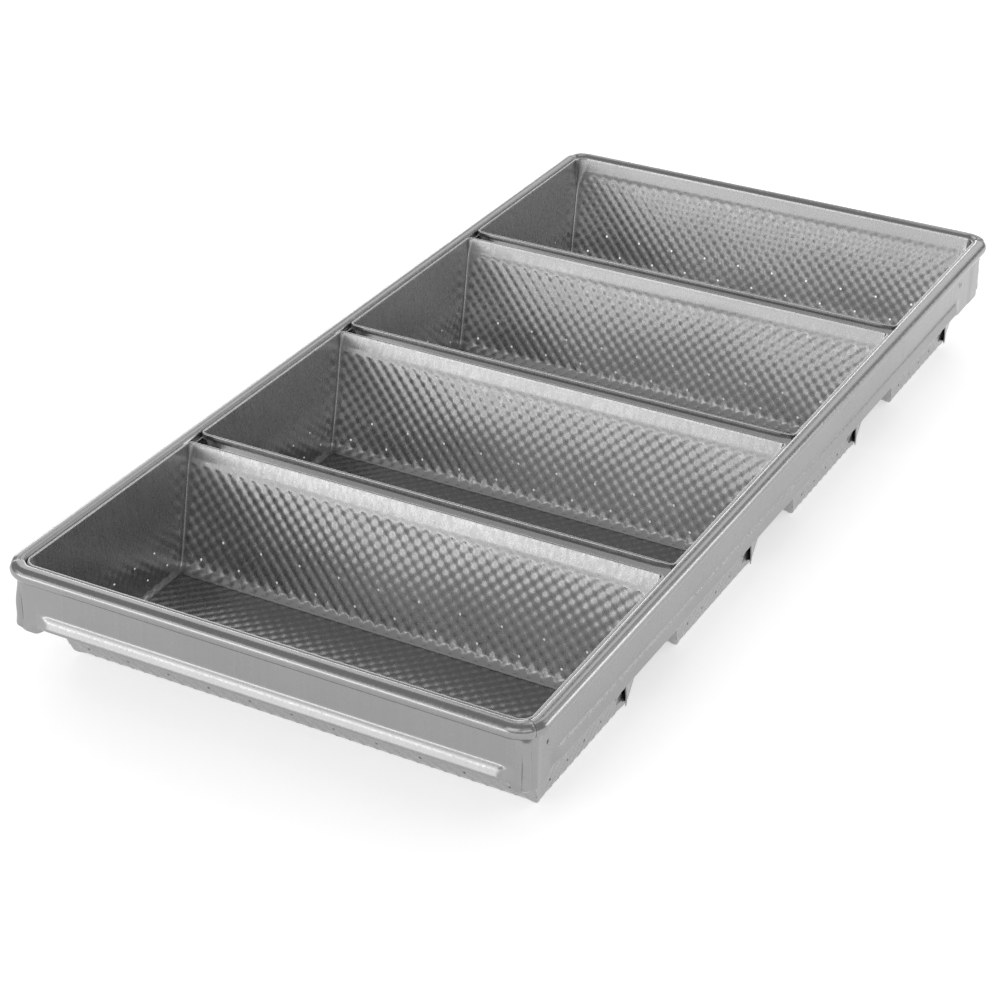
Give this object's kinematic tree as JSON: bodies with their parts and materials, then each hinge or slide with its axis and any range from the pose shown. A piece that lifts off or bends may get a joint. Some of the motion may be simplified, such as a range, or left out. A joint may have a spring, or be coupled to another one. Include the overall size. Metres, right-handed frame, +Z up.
{
  "type": "strapped loaf pan set",
  "caption": "Set of open loaf pans with flared embossed walls and pinholes, held side by side in a rolled-rim strap frame for baking bread.",
  "frame": {"origin": "middle of the set in plan, on the plane the pan bottoms rest on", "axes": "+X along the pans' length, +Y across the row of pans (the set's longest extent), +Z up (its shortest extent)"},
  "size_m": [0.2706, 0.5666, 0.0601],
  "materials": {
    "pan_sheet": "satin, aluminium-coated steel sheet, embossed",
    "strap_sheet": "satin, aluminium-coated steel strap with fine grain",
    "rod_steel": "drawn wire, plain",
    "weld_steel": "resistance weld, dull"
  },
  "bodies": {
    "root": {"pan_1": "pan_sheet", "pan_2": "pan_sheet", "pan_3": "pan_sheet", "pan_4": "pan_sheet", "front_strap": "strap_sheet", "back_strap": "strap_sheet", "left_strap": "strap_sheet", "right_strap": "strap_sheet", "rim_rod": "rod_steel", "corner_spot_welds": "weld_steel", "left_tack_welds": "weld_steel", "right_tack_welds": "weld_steel", "front_tack_welds": "weld_steel", "back_tack_welds": "weld_steel"}
  },
  "joints": []
}
